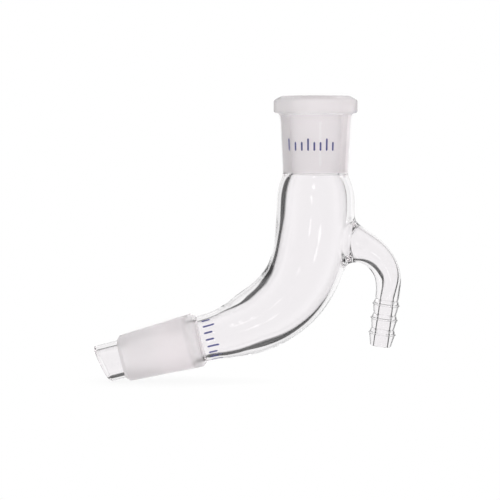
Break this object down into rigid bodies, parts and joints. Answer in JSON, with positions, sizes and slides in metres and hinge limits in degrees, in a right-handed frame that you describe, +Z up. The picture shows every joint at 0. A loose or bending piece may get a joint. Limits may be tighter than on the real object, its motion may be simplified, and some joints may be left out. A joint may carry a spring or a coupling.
{
  "type": "vacuum take-off adapter",
  "caption": "Bent glass take-off adapter: ground socket on top, ground cone with a slanted drip tip below, and a curved side arm with a serrated hose connector.",
  "frame": {"origin": "bottom centre of the overall box, level with the lowest edge of the drip tip", "axes": "+Z up along the socket axis, +X towards the side arm, -X towards the cone, and the adapter is mirror-symmetric about Y = 0"},
  "size_m": [0.106, 0.0288, 0.0985],
  "materials": {
    "clear_glass": "clear borosilicate glass, fire-polished",
    "ground_glass": "fine-ground frosted glass",
    "blue_enamel": "fired blue enamel ink of the printed tick marks"
  },
  "bodies": {
    "root": {"socket_joint": "ground_glass", "body_tube": "clear_glass", "side_arm": "clear_glass", "hose_barb": "clear_glass", "cone_joint": "ground_glass", "drip_tip": "clear_glass"}
  },
  "joints": []
}
